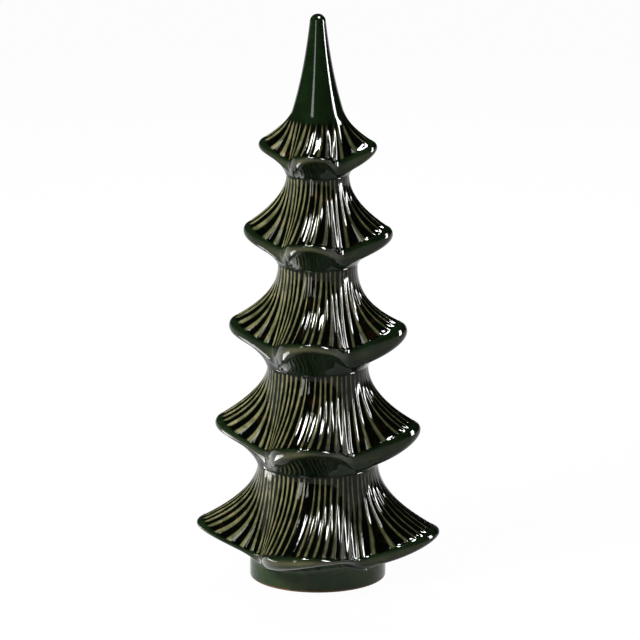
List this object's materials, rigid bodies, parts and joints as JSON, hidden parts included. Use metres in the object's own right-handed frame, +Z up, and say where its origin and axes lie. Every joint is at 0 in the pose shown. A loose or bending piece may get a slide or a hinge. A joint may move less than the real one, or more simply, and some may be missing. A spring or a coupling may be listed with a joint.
{
  "type": "ceramic christmas tree",
  "caption": "Free-standing glazed ceramic Christmas tree decoration: a plain pointed spire over stacked, lobed and fluted skirts on a round foot.",
  "frame": {"origin": "centre of the foot ring, on the table", "axes": "+Z up along the tree's axis, lobe tips of every skirt along X and Y"},
  "size_m": [0.174, 0.174, 0.4],
  "materials": {
    "green_glaze": "gloss"
  },
  "bodies": {
    "root": {"foot": "green_glaze", "bottom_tier": "green_glaze", "lower_tier": "green_glaze", "middle_tier": "green_glaze", "upper_tier": "green_glaze", "spire_tier": "green_glaze"}
  },
  "joints": []
}
